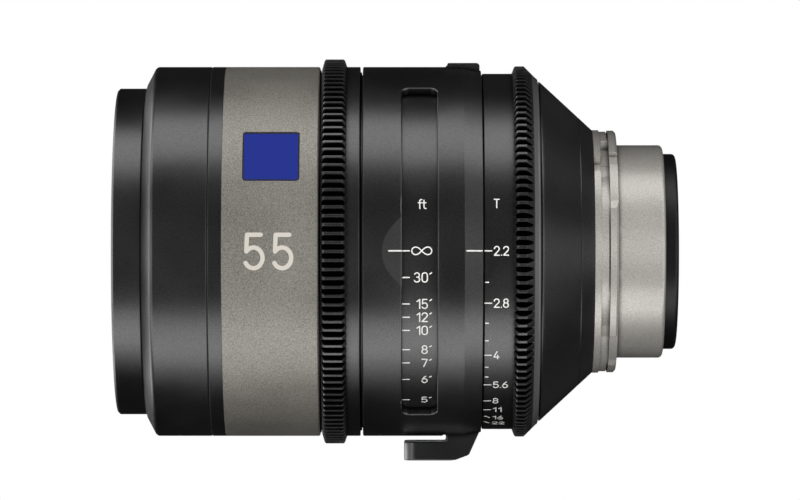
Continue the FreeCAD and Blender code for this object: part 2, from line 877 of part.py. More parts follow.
def housing():
    """Fixed scale housing: window, index facet, sloping index band, foot and top pad in one piece."""
    band = index_band_length
    blank = turned(
        (x_housing_front, housing_bore),
        (x_housing_front, barrel_radius - seam),
        (x_housing_front + seam, barrel_radius),
        (x_housing_rear - band, barrel_radius),
        (x_housing_rear, band_rear_radius),
        (x_housing_rear, housing_bore),
    )
    bore = Part.makeCylinder(housing_bore, housing_length + 2 * clear_of,
                             Vector(x_housing_front - clear_of, 0, 0), Vector(1, 0, 0))
    added = support_foot().fuse(top_pad()).cut(bore)
    body = blank.fuse(added).removeSplitter()
    thread = Part.makeCylinder(foot_thread_radius, foot_plate + 2 * clear_of,
                               Vector(x_housing_rear - foot_thread_place, 0, -foot_drop - clear_of))
    opened = cut_all(body, [facet_cutter(), thread, foot_relief()]).cut(window_cutter())
    return opened.makeFillet(window_bevel, window_rim(opened))


def follower_holes():
    floor = focus_front_glass_radius + follower_root - 0.2
    hole = radial_pin(x_follower, floor, cell_guide_radius + clear_of, follower_radius + seat_gap)
    return around(hole, follower_count, follower_start)


def focus_cell():
    """Floating cell: a hub for two elements, a web, and a guide rim that slides in the main barrel."""
    hub = focus_front_glass_radius + 4.0
    rim = cell_guide_radius - 2.4
    throat = focus_rear_glass_radius - glass_lip
    taper = 2.5
    front = x_follower - cell_half_length
    rear = x_follower + cell_half_length
    blank = turned(
        (front, focus_front_glass_radius + seat_gap),
        (front, hub),
        (x_follower - cell_web / 2, hub),
        (x_follower - cell_web / 2, rim),
        (x_follower - cell_rim / 2, rim),
        (x_follower - cell_rim / 2, cell_guide_radius),
        (x_follower + cell_rim / 2, cell_guide_radius),
        (x_follower + cell_rim / 2, rim),
        (x_follower + cell_web / 2, rim),
        (x_follower + cell_web / 2, hub),
        (rear, hub),
        (rear, focus_rear_glass_radius + seat_gap),
        (x_focus_rear_seat, focus_rear_glass_radius + seat_gap),
        (x_focus_rear_seat, throat),
        (x_focus_front_seat + taper, throat),
        (x_focus_front_seat, focus_front_glass_radius - glass_lip),
        (x_focus_front_seat, focus_front_glass_radius + seat_gap),
    )
    return cut_all(blank, follower_holes())


def focus_front_element():
    edge_thickness = 5.5
    front_bulge = 3.0
    rear_hollow = 2.2
    flat_rim = 3.0
    rear = x_focus_front_seat - seat_gap
    front = rear - edge_thickness
    return glass(front - front_bulge, front, rear, rear - rear_hollow,
                 focus_front_glass_radius, focus_front_glass_radius - flat_rim)


def focus_front_retainer():
    """Ring in front of the bulging element, clear of its curve."""
    thickness = 3.2
    front = x_follower - cell_half_length + 0.2
    return ring(front, front + thickness, focus_front_glass_radius - retainer_width, focus_front_glass_radius)


def focus_rear_element():
    """Element with a nearly flat front and a bulging rear."""
    front_hollow = 1.2
    edge_thickness = 4.5
    rear_bulge = 2.5
    flat_rim = 3.0
    front = x_focus_rear_seat + seat_gap
    rear = front + edge_thickness
    return glass(front + front_hollow, front, rear, rear + rear_bulge,
                 focus_rear_glass_radius, focus_rear_glass_radius - flat_rim)


def focus_rear_retainer():
    thickness = 3.1
    rear = x_follower + cell_half_length - 0.2
    return ring(rear - thickness, rear, focus_rear_glass_radius - retainer_width, focus_rear_glass_radius)


def cam_followers():
    """Roller pins on the floating cell. They pass through the barrel's slots into the cam grooves."""
    tip = cam_bore + cam_groove_depth - running_gap
    pin = radial_pin(x_follower, focus_front_glass_radius + follower_root, tip, follower_radius)
    return Part.makeCompound(around(pin, follower_count, follower_start))


def iris_ring():
    """Ring with the T scale and the iris gear. A gap of the gear is centred on the index."""
    tip = iris_tip_radius
    slope_front = x_iris_rear - iris_tail_round - (tip - iris_tail_radius)
    tail_middle = (x_iris_rear - 0.15, iris_tail_radius - 0.35)
    blank = turned(
        (x_iris_front, iris_bore),
        (x_iris_front, scale_ring_radius - seam),
        (x_iris_front + seam, scale_ring_radius),
        (x_iris_gear, scale_ring_radius),
        (x_iris_gear + gear_front_slope - gear_tip_bevel, tip + over_tip - gear_tip_bevel),
        (x_iris_gear + gear_front_slope, tip + over_tip),
        (slope_front, tip + over_tip),
        (x_iris_rear - iris_tail_round, iris_tail_radius),
        (tail_middle, (x_iris_rear, iris_end_radius)),
        (x_iris_rear, iris_bore),
    )
    bar = toothed_prism(iris_teeth, tip, x_iris_front - clear_of, x_iris_rear + clear_of)
    trimmed = aimed(bar, 180.0 / iris_teeth).common(blank)
    hole = radial_pin(x_key, iris_bore - clear_of, iris_bore + key_bite + key_end_gap, key_radius + seat_gap)
    return trimmed.cut(aimed(hole, key_angle))


def iris_drive_ring():
    """Inner ring that carries the motion of the iris ring to the blades."""
    inner = blade_pivot_radius + 3.0
    floor = cell_guide_radius - key_root - key_end_gap
    blank = ring(x_drive_ring, x_drive_ring + drive_ring_thickness, inner, cell_guide_radius)
    hole = radial_pin(x_key, floor, cell_guide_radius + clear_of, key_radius + seat_gap)
    return blank.cut(aimed(hole, key_angle))


def iris_drive_key():
    """Pin between the iris ring and its drive ring, through the slot in the main barrel."""
    pin = radial_pin(x_key, cell_guide_radius - key_root, iris_bore + key_bite, key_radius)
    return aimed(pin, key_angle)


def iris_plate():
    """Fixed plate in front of the blades, with the widest opening and a pivot hole for each blade."""
    rear = x_iris_plate + iris_plate_thickness
    edge = 0.4
    flare = 2.0
    blank = turned(
        (x_iris_plate, iris_open_radius + flare),
        (x_iris_plate, guide_bore - seat_gap),
        (rear, guide_bore - seat_gap),
        (rear, iris_open_radius),
        (rear - edge, iris_open_radius),
    )
    hole = axial_pin(x_iris_plate - clear_of, iris_plate_thickness + 2 * clear_of,
                     blade_pivot_radius, blade_pin_radius + pin_gap)
    return cut_all(blank, around(hole, blade_count))


def iris_blade(index):
    """A thin curved blade. It lies in its own plane, and its pin reaches forwards into the plate."""
    front = x_blades + blade_pitch * index
    rear = front + blade_thickness
    middle_radius = blade_inner_radius + blade_width / 2
    band = sector(front, rear, blade_inner_radius, blade_inner_radius + blade_width,
                  blade_sweep / 2, blade_sweep / 2)
    end = axial_pin(front, blade_thickness, middle_radius, blade_width / 2)
    boss = axial_pin(front, blade_thickness, blade_pivot_radius, blade_boss_radius)
    pin_front = x_iris_plate + running_gap
    pin = axial_pin(pin_front, front - pin_front, blade_pivot_radius, blade_pin_radius)
    blade = band.fuse([end, aimed(end, blade_sweep), boss, pin]).removeSplitter()
    return aimed(blade, 360.0 * index / blade_count)


def iris_retainer():
    """Ring that keeps the drive ring in the barrel."""
    return ring(x_iris_retainer, x_iris_retainer + iris_retainer_thickness,
                guide_bore - iris_retainer_width, guide_bore - seat_gap)


def rear_cell():
    """Cell for the two rear elements. Its flange bears on the main barrel's rear web."""
    web_rear = x_rear_web + rear_web_thickness
    return turned(
        (x_rear_cell, rear_front_glass_radius + seat_gap),
        (x_rear_cell, rear_cell_radius),
        (web_rear, rear_cell_radius),
        (web_rear, rear_cell_radius + rear_flange_height),
        (web_rear + rear_flange_thickness, rear_cell_radius + rear_flange_height),
        (web_rear + rear_flange_thickness, rear_tail_radius),
        (x_rear_cell_end, rear_tail_radius),
        (x_rear_cell_end, rear_glass_radius + seat_gap),
        (x_rear_seat, rear_glass_radius + seat_gap),
        (x_rear_seat, rear_glass_radius - glass_lip),
        (x_rear_cell + rear_cup_depth, rear_glass_radius - glass_lip),
        (x_rear_cell + rear_cup_depth, rear_front_glass_radius + seat_gap),
    )


def rear_group_front_element():
    """Element that is hollow on both sides."""
    edge_thickness = 4.5
    front_hollow = 1.5
    rear_hollow = 1.0
    flat_rim = 3.5
    rear = x_rear_cell + rear_cup_depth - seat_gap
    front = rear - edge_thickness
    return glass(front + front_hollow, front, rear, rear - rear_hollow,
                 rear_front_glass_radius, rear_front_glass_radius - flat_rim)


def rear_group_front_retainer():
    thickness = 1.6
    front = x_rear_cell + 0.2
    return ring(front, front + thickness, rear_front_glass_radius - retainer_width, rear_front_glass_radius)


def rear_element():
    """Last element, with a hollow front and a bulging rear."""
    front_hollow = 1.5
    edge_thickness = 5.0
    rear_bulge = 2.2
    flat_rim = 2.6
    front = x_rear_seat + seat_gap
    rear = front + edge_thickness
    return glass(front + front_hollow, front, rear, rear + rear_bulge,
                 rear_glass_radius, rear_glass_radius - flat_rim)


def rear_retainer():
    thickness = 3.7
    rear = x_rear_cell_end - 0.3
    return ring(rear - thickness, rear, rear_glass_radius - retainer_width, rear_glass_radius)


def cone_radius(x):
    """Radius of the rear cone at a place along the axis."""
    front = x_cover + cone_round
    fall = (cone_foot_radius - mount_radius) / (x_base - front)
    return cone_foot_radius - fall * (x - front)


def rear_cover():
    """Conical rear cover. Its front face keeps the iris ring on its journal."""
    spigot_end = x_cover + rear_spigot_length + seat_gap
    hollow = cone_radius(x_end_ring) - cone_wall
    joint = end_spigot_radius + seat_gap
    x_joint = x_end_ring - end_spigot_length - seat_gap
    corner_middle = (x_cover + 0.2, cover_front_radius - 0.12)
    return turned(
        (x_cover, rear_spigot_radius + seat_gap),
        (x_cover, cover_front_radius),
        (corner_middle, (x_cover + cone_round, cone_foot_radius)),
        (x_end_ring - seam / 2, cone_radius(x_end_ring - seam / 2)),
        (x_end_ring, cone_radius(x_end_ring) - seam / 2),
        (x_end_ring, joint),
        (x_joint, joint),
        (x_joint, hollow),
        (spigot_end, hollow),
        (spigot_end, rear_spigot_radius + seat_gap),
    )


def mount_screw_copies(shape):
    """Two copies for each of the mount's four lands."""
    copies = []
    for side in (-1, 1):
        copies += around(shape, 4, side * mount_screw_spread)
    return copies


def mount_screw_holes():
    """Clearance holes, long enough to go through every piece of the mount."""
    length = x_base - shim_thickness - clear_of
    hole = axial_pin(length, clear_of - length, mount_screw_place, mount_screw_radius + pin_gap)
    return mount_screw_copies(hole)


def cover_end_ring():
    """Last band of the cone, tapped for the mount screws, with a recess for the shim."""
    bore = guard_flange_radius + seat_gap
    recess = x_base - shim_thickness
    blank = turned(
        (x_end_ring - end_spigot_length, bore),
        (x_end_ring - end_spigot_length, end_spigot_radius),
        (x_end_ring, end_spigot_radius),
        (x_end_ring, cone_radius(x_end_ring) - seam / 2),
        (x_end_ring + seam / 2, cone_radius(x_end_ring + seam / 2)),
        (x_base, mount_radius),
        (x_base, shim_radius + seat_gap),
        (recess, shim_radius + seat_gap),
        (recess, bore),
    )
    reach = mount_screw_length + running_gap
    hole = axial_pin(-reach, reach, mount_screw_place, mount_screw_radius + seat_gap)
    return cut_all(blank, mount_screw_copies(hole))


def mount_shim():
    """Thin ring that sets the back focus."""
    blank = ring(x_base - shim_thickness, x_base, guard_flange_radius + seat_gap, shim_radius)
    return cut_all(blank, mount_screw_holes())


def index_slot(front, rear, floor):
    """Slot for the camera mount's index pin, seen above the scales."""
    return sector(front, rear, floor, mount_radius + clear_of, index_slot_angle, index_slot_half)


def mount_base_ring():
    """Bright ring in front of the lock groove. The camera's index pin enters its slot."""
    blank = ring(x_base, x_groove, guard_flange_radius + seat_gap, mount_radius)
    slot = index_slot(x_base - clear_of, x_groove + clear_of, lock_core_radius)
    return cut_all(blank, mount_screw_holes()).cut(slot)


def lock_groove_blank():
    """Floor of the lock groove: a round core and four rounds of a smaller radius, set outwards."""
    axis = Vector(1, 0, 0)
    centre = Vector(x_groove, 0, 0)
    aside = Vector(x_groove, lobe_radius - lock_land_radius, 0)
    core = Part.makeCylinder(lock_core_radius, lock_groove_length, centre, axis)
    bore = Part.makeCylinder(mount_bore, lock_groove_length, centre, axis)
    lobe = Part.makeCylinder(lobe_radius, lock_groove_length, aside, axis)
    outside = mount_radius + clear_of
    line_floor = lock_land_radius - land_line_depth
    line = ring(-wing_length - land_line_width, -wing_length + clear_of, line_floor, outside)
    pocket = sector(x_groove - clear_of, clear_of - wing_length, stop_pocket_floor, outside,
                    stop_pocket_angle, stop_pocket_half)
    return core.fuse(around(lobe, 4)).cut(bore).cut(line).cut(pocket)


def wing_ramps():
    """Flats that lead down from the wings into the reliefs beside them."""
    lean = math.radians(ramp_lean)
    low = wing_relief_radius * math.cos(lean)
    outside = wing_radius + clear_of
    corner = Vector(-wing_length, -outside, -low * math.tan(lean) - ramp_run)
    block = Part.makeBox(wing_length + clear_of, outside - low, ramp_run, corner)
    return around(block, 4, relief_start + ramp_lean)


def wing_cutters():
    """Reliefs between the wings, the index slot, and the notch beside it."""
    front = -wing_length - 0.1
    outside = wing_radius + clear_of
    relief_half = (wing_notch_angle - wing_notch_half - relief_start) / 2
    relief = sector(front, clear_of, wing_relief_radius, outside, relief_start + relief_half, relief_half)
    cutters = around(relief, 4)
    cutters.append(sector(front, clear_of, wing_notch_floor, outside, wing_notch_angle, wing_notch_half))
    cutters.append(index_slot(x_groove - clear_of, -wing_length, wing_notch_floor - 2.2))
    return cutters


def bayonet_mount():
    """Bright camera mount: a lobed lock groove, a winged flange, and the tube that centres it."""
    bevel = 0.6
    round_size = 1.2
    cut_back = round_size * (1 - math.sqrt(0.5))
    tube_round = ((tube_length - cut_back, tube_radius - cut_back), (tube_length, tube_radius - round_size))
    body = turned(
        (-wing_length, mount_bore),
        (-wing_length, wing_radius),
        (-bevel, wing_radius),
        (0, wing_radius - bevel),
        (0, tube_radius),
        (tube_length - round_size, tube_radius),
        tube_round,
        (tube_length, mount_bore),
    )
    groove = lock_groove_blank()
    head = axial_pin(-head_depth - seat_gap, head_depth + clear_of, mount_screw_place,
                     mount_screw_head + seat_gap)
    body = cut_all(cut_all(body, wing_ramps()).fuse(groove), wing_cutters())
    return cut_all(cut_all(body, mount_screw_holes()), mount_screw_copies(head))


def mount_screws():
    """Flat-headed screws that hold the mount, its base ring and the shim to the cover's end ring."""
    shank_length = mount_screw_length - head_depth
    slot_size = 0.4
    slot_corner = Vector(-slot_size, -mount_screw_place - slot_size / 2, -mount_screw_head)
    shank = axial_pin(-mount_screw_length, shank_length, mount_screw_place, mount_screw_radius)
    head = axial_pin(-head_depth, head_depth - seat_gap, mount_screw_place, mount_screw_head)
    slot = Part.makeBox(slot_size, slot_size, 2 * mount_screw_head, slot_corner)
    return Part.makeCompound(mount_screw_copies(shank.fuse(head).cut(slot)))


def rear_guard():
    """Black tube that guards the last element, clamped by its flange in the base ring."""
    end = tube_length + guard_reach
    round_size = 1.2
    cut_back = round_size * (1 - math.sqrt(0.5))
    bevel = 0.5
    return turned(
        (x_base + seat_gap, guard_bore),
        (x_base + seat_gap, guard_flange_radius),
        (x_groove - seat_gap, guard_flange_radius),
        (x_groove - seat_gap, guard_radius),
        (end - round_size, guard_radius),
        ((end - cut_back, guard_radius - cut_back), (end, guard_radius - round_size)),
        (end, guard_bore + bevel),
        (end - bevel, guard_bore),
    )


def rear_baffle():
    """Black plate with a rounded rectangular opening, the size of the picture's cone of light."""
    front = tube_length + baffle_place
    corner = Vector(front - clear_of, -baffle_width / 2, -baffle_height / 2)
    disc = Part.makeCylinder(guard_bore - seat_gap, baffle_thickness, Vector(front, 0, 0), Vector(1, 0, 0))
    window = Part.makeBox(baffle_thickness + 2 * clear_of, baffle_width, baffle_height, corner)
    lengthwise = [edge for edge in window.Edges if abs(edge.tangentAt(edge.FirstParameter).x) > 0.5]
    return disc.cut(window.makeFillet(baffle_corner, lengthwise))


pieces = {
    "front_ring": front_ring,
    "front_barrel": front_barrel,
    "trim_ring": trim_ring,
    "grip_sleeve": grip_sleeve,
    "badge_plate": badge_plate,
    "front_carrier": front_carrier,
    "front_cell": front_cell,
    "front_retainer": front_retainer,
    "front_element": front_element,
    "second_element": second_element,
    "second_retainer": second_retainer,
    "main_barrel": main_barrel,
    "housing": housing,
    "focus_ring": focus_ring,
    "ring_screws": ring_screws,
    "cam_sleeve": cam_sleeve,
    "scale_drum": scale_drum,
    "drum_screws": drum_screws,
    "focus_cell": focus_cell,
    "focus_front_element": focus_front_element,
    "focus_front_retainer": focus_front_retainer,
    "focus_rear_element": focus_rear_element,
    "focus_rear_retainer": focus_rear_retainer,
    "cam_followers": cam_followers,
    "iris_ring": iris_ring,
    "iris_drive_ring": iris_drive_ring,
    "iris_drive_key": iris_drive_key,
    "iris_plate": iris_plate,
    "iris_retainer": iris_retainer,
    "rear_cell": rear_cell,
    "rear_group_front_element": rear_group_front_element,
    "rear_group_front_retainer": rear_group_front_retainer,
    "rear_element": rear_element,
    "rear_retainer": rear_retainer,
    "rear_cover": rear_cover,
    "cover_end_ring": cover_end_ring,
    "mount_shim": mount_shim,
    "mount_base_ring": mount_base_ring,
    "bayonet_mount": bayonet_mount,
    "mount_screws": mount_screws,
    "rear_guard": rear_guard,
    "rear_baffle": rear_baffle,
}


def export(name, shape):
    if not shape.isValid():
        raise ValueError(name + " is not a valid shape")
    shape.exportStep(os.path.join("parts", name + ".step"))
    print(name, len(shape.Solids), round(shape.Volume, 1))


os.makedirs("parts", exist_ok=True)
for name, make in pieces.items():
    export(name, make())
for index in range(blade_count):
    export("iris_blade_%02d" % (index + 1), iris_blade(index))
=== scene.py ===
import json
import math

import bpy
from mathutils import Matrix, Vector


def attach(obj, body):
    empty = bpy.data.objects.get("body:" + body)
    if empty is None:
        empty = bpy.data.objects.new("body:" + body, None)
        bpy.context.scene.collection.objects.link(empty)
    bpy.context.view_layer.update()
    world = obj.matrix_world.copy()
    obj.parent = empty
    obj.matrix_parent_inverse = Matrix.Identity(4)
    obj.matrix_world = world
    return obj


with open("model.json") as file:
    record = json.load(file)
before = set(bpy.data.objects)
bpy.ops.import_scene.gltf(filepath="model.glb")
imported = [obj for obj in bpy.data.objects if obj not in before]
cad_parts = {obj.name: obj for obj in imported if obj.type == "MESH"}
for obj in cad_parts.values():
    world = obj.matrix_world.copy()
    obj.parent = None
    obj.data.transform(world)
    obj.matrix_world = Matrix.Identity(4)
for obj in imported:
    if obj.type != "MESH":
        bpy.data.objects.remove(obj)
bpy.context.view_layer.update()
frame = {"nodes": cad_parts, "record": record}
nodes = frame["nodes"]

# The frame is the CAD model's: +X runs back along the optical axis, +Z is up, and the scales face
# -Y. Blender works in metres. Sizes on the lens are in millimetres here, and angles round it are
# in degrees above -Y.
MM = 0.001

# Surfaces of the CAD model that carry paint
BARREL_RADIUS = 53.8
DRUM_RADIUS = 51.4
SCALE_RING_RADIUS = 51.83
TAIL_FRONT = -24.4           # where the iris ring's lighter grey tail starts
BAND_FRONT, BAND_REAR = -44.3, -39.1
BAND_REAR_RADIUS = 52.7
FACET_FRONT, FACET_REAR = -67.8, -62.0
FACET_DEPTH = 0.97           # of the facet at its rear end
BADGE_FRONT, BADGE_REAR = -107.25, -91.15
BADGE_ANGLE = 30.5           # of the middle of the badge
BADGE_REACH = 53.3           # from the axis to its face
BADGE_HALF = 8.05            # of its height
BADGE_CORNER = 1.0
BADGE_SHADE_WIDTH = 0.38             # width of the line of painted shade round its edge, for the shade of its recess
SHADOW_DROP = 0.7            # of a second line of painted shadow under the upper edge, in widths of the first line

# Texture of the materials
DRIFT_SCALE = 45.0           # of the slow drift of tone and roughness, per metre
DRIFT_SHARE = 0.2            # of the drift in the tone, whose rest is the specks
DRIFT_REACH = (0.3, 0.7)     # values of the drift that give the smoothest and the roughest place
TONE_REACH = (0.35, 0.65)    # values of the tone that give the darkest and the lightest place
MARK_SCALE = 6.0             # of the turning marks across the axis, per metre
BUMP_HEIGHT = 0.01
TAIL_BLEND = 0.1             # half the width over which the lighter grey tail begins
GAP_REACH = 2.0              # how far a surface looks for the other wall of a gap
GAP_SHADE = 0.1              # share of the colour that is left deep in a gap, where the painted shade is full

# Coating of the glass, in nanometres
FILM = (150.0, 175.0)
FILM_SCALE = 30.0            # of its drift, per metre

# What mirroring surfaces see all round. Each zone fades in or out between two values of X, Y or Z
# of the unit vector that points there.
BACKDROP_REACH = (0.99, 0.994)   # Y, straight behind the lens
SIDE_GLOW = 0.5
SIDE_REACH = (0.2, 0.42)     # X, to the left and right alike
STREAK_GLOW = 1.6            # brighter streaks in the sides, for the broken edges
STREAK_RISE = (0.45, 0.62)   # X
STREAK_FALL = (0.75, 0.9)    # X
STREAK_LEVEL = (0.15, 0.4)   # Z, up and down alike
SIDE_FALL = (-0.6, 0.0)      # Y, where the sides and their streaks get darker
SIDE_REST = 0.08             # share of them that is left behind the lens
CORNER_GLOW = 3.4            # behind to the left, for the front shoulder
CORNER_X = (-0.78, -0.5)
CORNER_Y = (0.0, 0.4)
ROOM = (0.06, 0.01)          # the rest of the room, in front and behind
ROOM_REACH = (-0.9, -0.3)    # Y

# Light on matt surfaces, and what the soft boxes face, in metres
AMBIENT = 0.15
KEY = 11.0
BOX_AIM = Vector((-0.063, 0.0, 0.0))

# Floor and camera, in metres, and in millimetres for the lens and its sensor
FLOOR_MIDDLE = (0.0, -0.9, -2.5)
FLOOR_RADIUS = 0.7
FLOOR_STEP = 6               # degrees between two corners
FLOOR_GLOW = 0.35            # what the camera and mirrors see beside the light that falls on it
CAMERA_PLACE = (-0.0626, -1.635, 0.00042)
CAMERA_LENS = 252.1
CAMERA_SENSOR = 36.0
CAMERA_CLIP = (0.05, 50.0)

# Strokes of paint
PAINT_HEIGHT = 0.03          # how far a stroke stands proud
PAINT_SINK = 0.02
PAINT_SIDE = 0.3             # share of its height at which its bevels start
PAINT_FLAT = 0.75            # share of its width that is flat
SECTION_STEP = 0.22          # between two sections of a stroke
END_ANGLES = (0.5, 0.95, 1.3, 1.5)   # of the sections that round an end, in radians
FIGURE_STROKE = 0.35
INDEX_STROKE = 0.42
INDEX_RISE = 0.19            # of the index lines above the axis

# Distance scale on the drum: places along X, and heights
TICK_FRONT, TICK_REAR = -61.9, -59.95
DISTANCE_HEIGHT = 3.0
DISTANCE_END = -53.55        # rear end of the figures
INFINITY_MIDDLE, INFINITY_HEIGHT = -56.45, 2.45
UNIT_START, UNIT_RISE = -57.6, 13.6
FACET_INDEX = (-65.75, -62.25)
SCALE_SPREAD = 240.3         # turn times distance, in degrees and feet
SCALE_START = 0.693          # distance from which the scale counts, in feet

# T scale on the iris ring: places along X, and heights
STOP_TICK = (-38.53, -36.65)
SMALL_TICK = (-38.3, -37.55)
BENT_TICK = (-38.3, -37.9, -36.9)    # front end, bend and rear end
STOP_START, STOP_HEIGHT = -36.1, 2.8
T_ANGLE = 15.2
BAND_INDEX = (-43.65, -39.38)

# Focal length on the sleeve
FOCAL_START, FOCAL_HEIGHT, FOCAL_STROKE = -106.95, 10.7, 1.24
FOCAL_SLIM = 0.93            # width of its figures against those of the scales
FOCAL_SPACING = 0.335


# Node helpers

def empty_tree(owner):
    """The node tree of a new material or world, with nothing in it."""
    owner.use_nodes = True
    owner.node_tree.nodes.clear()
    return owner.node_tree


def add_node(tree, kind, inputs=None, **settings):
    """A shader node. An input is a value, or another node's output socket to link."""
    made = tree.nodes.new(kind)
    for name, value in settings.items():
        setattr(made, name, value)
    for name, value in (inputs or {}).items():
        socket = made.inputs[name]
        if isinstance(value, bpy.types.NodeSocket):
            tree.links.new(value, socket)
        else:
            socket.default_value = value
    return made


def calculate(tree, operation, first, second=0.0):
    return add_node(tree, "ShaderNodeMath", {0: first, 1: second}, operation=operation).outputs[0]


def combine(tree, operation, *values):
    """The sum, product or maximum of two or more values."""
    result = values[0]
    for value in values[1:]:
        result = calculate(tree, operation, result, value)
    return result


def ramp(tree, value, reach, results=(0.0, 1.0), kind="LINEAR"):
    """Turns the two ends of reach into the two results, and keeps to them beyond."""
    made = add_node(tree, "ShaderNodeMapRange", {
        "Value": value,
        "From Min": reach[0],
        "From Max": reach[1],
        "To Min": results[0],
        "To Max": results[1],
    }, interpolation_type=kind)
    return made.outputs["Result"]


def fade(tree, value, reach, results=(0.0, 1.0)):
    return ramp(tree, value, reach, results, "SMOOTHSTEP")


def noise(tree, vector, scale, detail=2.0):
    made = add_node(tree, "ShaderNodeTexNoise", {"Vector": vector, "Scale": scale, "Detail": detail})
    return made.outputs["Fac"]


def blend_colours(tree, share, first, second):
    """A Mix node, whose sockets 6 and 7 and output 2 are those of its colours."""
    inputs = {"Factor": share, 6: first, 7: second}
    return add_node(tree, "ShaderNodeMix", inputs, data_type="RGBA").outputs[2]


def opaque(colour, factor=1.0):
    return (colour[0] * factor, colour[1] * factor, colour[2] * factor, 1.0)


# Materials

def finish_of(name, colour, roughness, metallic=0.0, spread=0.04, shade=0.12, specular=0.5,
              grain=0.0, grain_size=0.25, lines=0.0, line_size=0.12, edge=0.1,
              gaps=(0.45, 0.95), alone=True, tail_colour=None):
    """A machined, blasted or painted finish. The roughness drifts by spread over some
    centimetres. The tone varies by shade, mostly in fine specks. The specks are also raised by
    grain, and the turning marks round the optical axis by lines. Edges are broken by the radius
    edge. Narrow gaps get painted shade, a darker colour and less gloss: gaps holds the shares of
    open sky at which the painted shade is full and at which it is gone, counting the piece's own
    walls alone or all of them. A lighter colour bare, if given, shows on the iris ring's tail."""
    material = bpy.data.materials.new(name)
    tree = empty_tree(material)
    place = add_node(tree, "ShaderNodeTexCoord").outputs["Object"]
    drift = noise(tree, place, DRIFT_SCALE, detail=3.0)
    specks = noise(tree, place, 1.0 / (MM * grain_size))
    stretch = (1.0 / (MM * line_size), MARK_SCALE, MARK_SCALE)
    stretched = add_node(tree, "ShaderNodeVectorMath", {0: place, 1: stretch}, operation="MULTIPLY")
    marks = noise(tree, stretched.outputs["Vector"], 1.0)

    tone = calculate(tree, "ADD", calculate(tree, "MULTIPLY", drift, DRIFT_SHARE),
                     calculate(tree, "MULTIPLY", specks, 1.0 - DRIFT_SHARE))
    base = blend_colours(tree, ramp(tree, tone, TONE_REACH),
                         opaque(colour, 1.0 - shade), opaque(colour, 1.0 + shade))
    # A lighter grey colour on the iris ring's tail.
    if tail_colour:
        along_axis = add_node(tree, "ShaderNodeSeparateXYZ", {"Vector": place}).outputs["X"]
        start = (MM * (TAIL_FRONT - TAIL_BLEND), MM * (TAIL_FRONT + TAIL_BLEND))
        base = blend_colours(tree, ramp(tree, along_axis, start), base, opaque(tail_colour))
    # Painted shade: where ambient occlusion finds walls close by, the colour darkens towards GAP_SHADE
    # and the gloss fades.
    if gaps:
        sky = add_node(tree, "ShaderNodeAmbientOcclusion", {"Distance": MM * GAP_REACH},
                       samples=8, only_local=alone)
        openness = ramp(tree, sky.outputs["AO"], gaps)
        base = blend_colours(tree, openness, opaque(colour, GAP_SHADE), base)
        gloss = ramp(tree, tone, TONE_REACH, (specular * (1.0 - shade), specular * (1.0 + shade)))
        specular = calculate(tree, "MULTIPLY", openness, gloss)

    height = calculate(tree, "ADD", calculate(tree, "MULTIPLY", specks, grain),
                       calculate(tree, "MULTIPLY", marks, lines))
    bump = add_node(tree, "ShaderNodeBump",
                    {"Height": height, "Strength": 1.0, "Distance": MM * BUMP_HEIGHT})
    if edge:
        edges = add_node(tree, "ShaderNodeBevel", {"Radius": MM * edge}, samples=4)
        tree.links.new(edges.outputs["Normal"], bump.inputs["Normal"])
    shader = add_node(tree, "ShaderNodeBsdfPrincipled", {
        "Base Color": base,
        "Roughness": ramp(tree, drift, DRIFT_REACH, (roughness - spread, roughness + spread)),
        "Metallic": metallic,
        "Specular IOR Level": specular,
        "Normal": bump.outputs["Normal"],
    })
    add_node(tree, "ShaderNodeOutputMaterial", {"Surface": shader.outputs["BSDF"]})
    return material


def coated_glass(name):
    """Polished glass with a thin coating, whose thickness drifts a little across the element."""
    material = bpy.data.materials.new(name)
    tree = empty_tree(material)
    place = add_node(tree, "ShaderNodeTexCoord").outputs["Object"]
    shader = add_node(tree, "ShaderNodeBsdfPrincipled", {
        "Base Color": (0.93, 0.97, 0.95, 1.0),
        "Roughness": 0.0,
        "IOR": 1.52,
        "Transmission Weight": 1.0,
        "Thin Film Thickness": ramp(tree, noise(tree, place, FILM_SCALE), DRIFT_REACH, FILM),
        "Thin Film IOR": 1.38,
    })
    add_node(tree, "ShaderNodeOutputMaterial", {"Surface": shader.outputs["BSDF"]})
    return material


BLACK = {
    "colour": (0.0038, 0.0038, 0.004),
    "roughness": 0.33,
    "shade": 0.24,
    "specular": 1.0,
    "grain": 1.0,
    "lines": 0.2,
    "edge": 0.3,
    "gaps": (0.6, 0.95),
}
materials = {
    "black_anodised": finish_of("black_anodised", **BLACK),
    "black_inner": finish_of("black_inner", (0.003, 0.003, 0.0032), 0.42, specular=0.3,
                             grain=0.8, lines=0.3),
    "satin_silver": finish_of("satin_silver", (0.232, 0.220, 0.192), 0.5, metallic=0.52,
                              shade=0.32, specular=1.0, grain=1.6, grain_size=0.36),
    "badge_blue": finish_of("badge_blue", (0.012, 0.026, 0.245), 0.5, specular=0.1, grain=0.3),
    "mount_steel": finish_of("mount_steel", (0.427, 0.411, 0.379), 0.32, metallic=0.25,
                             spread=0.03, shade=0.2, grain=0.4, grain_size=0.3, lines=0.4,
                             line_size=0.35, gaps=(0.35, 0.9)),
    "screw_steel": finish_of("screw_steel", (0.40, 0.40, 0.40), 0.4, metallic=0.6, grain=0.4),
    "cam_brass": finish_of("cam_brass", (0.60, 0.44, 0.20), 0.4, metallic=0.6, lines=1.0),
    "coated_glass": coated_glass("coated_glass"),
    "blade_black": finish_of("blade_black", (0.02, 0.02, 0.022), 0.45, metallic=0.3, grain=0.4),
}
# The housing gets painted shade beside the drum behind its window, since its gaps count the drum too,
# and the iris ring's tail is a lighter grey.
node_finishes = {
    "housing": finish_of("black_anodised_painted_shade", alone=False, **BLACK),
    "iris_ring": finish_of("black_anodised_light_tail", tail_colour=(0.115, 0.115, 0.114), **BLACK),
}


def paint_of(name, colour, roughness=0.6, specular=0.5):
    return finish_of(name, colour, roughness, shade=0.03, specular=specular, edge=0.0, gaps=None)


